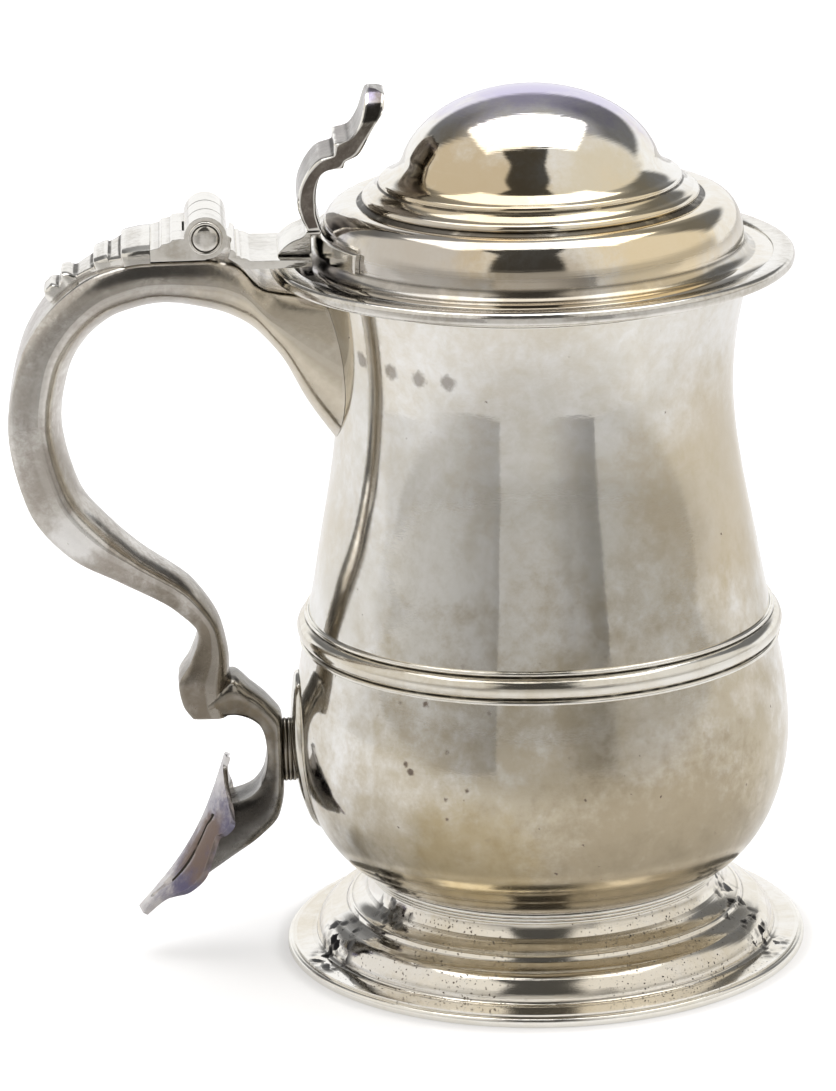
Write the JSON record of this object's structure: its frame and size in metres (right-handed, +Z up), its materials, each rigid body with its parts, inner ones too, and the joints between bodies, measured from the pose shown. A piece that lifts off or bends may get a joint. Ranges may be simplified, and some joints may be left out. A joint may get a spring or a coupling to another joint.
{
  "type": "lidded tankard",
  "caption": "Lidded baluster tankard in worked metal with a hollow scroll handle, a domed lid on a pin hinge, a scroll thumbpiece, a belly moulding and a spreading turned foot.",
  "frame": {"origin": "centre of the foot's standing ring, on the vessel's axis", "axes": "+Z up along the vessel's axis, -X towards the handle, Y along the hinge pin"},
  "size_m": [0.1731, 0.116, 0.1961],
  "materials": {
    "bright_silver": "polished",
    "satin_silver": "satin",
    "toned_silver": "tarnished"
  },
  "bodies": {
    "vessel": {"body_vessel": "satin_silver", "lip_moulding": "bright_silver", "girdle_moulding": "bright_silver", "foot": "bright_silver", "foot_rim_wire": "bright_silver", "foot_collar": "bright_silver", "handle_back_strap": "toned_silver", "handle_inner_channel": "toned_silver", "handle_lower_scroll": "toned_silver", "handle_terminal": "toned_silver", "lower_socket": "toned_silver", "lower_backplate": "satin_silver", "hinge_block": "bright_silver", "hinge_drop": "bright_silver", "hinge_pin": "bright_silver", "pin_cap_near": "bright_silver", "pin_cap_far": "bright_silver"},
    "lid": {"lid_shell": "bright_silver", "lid_rim_wire": "bright_silver", "lid_bezel": "bright_silver", "lid_hinge_plate": "bright_silver", "lid_saddle": "bright_silver", "thumbpiece_base": "bright_silver", "thumbpiece": "toned_silver"}
  },
  "joints": [
    {"name": "lid_hinge", "type": "hinge", "parent": "vessel", "child": "lid", "pos_m": [-0.0707, 0, 0.1664], "axis": [0, -1, 0], "range_deg": [0, 105]}
  ]
}
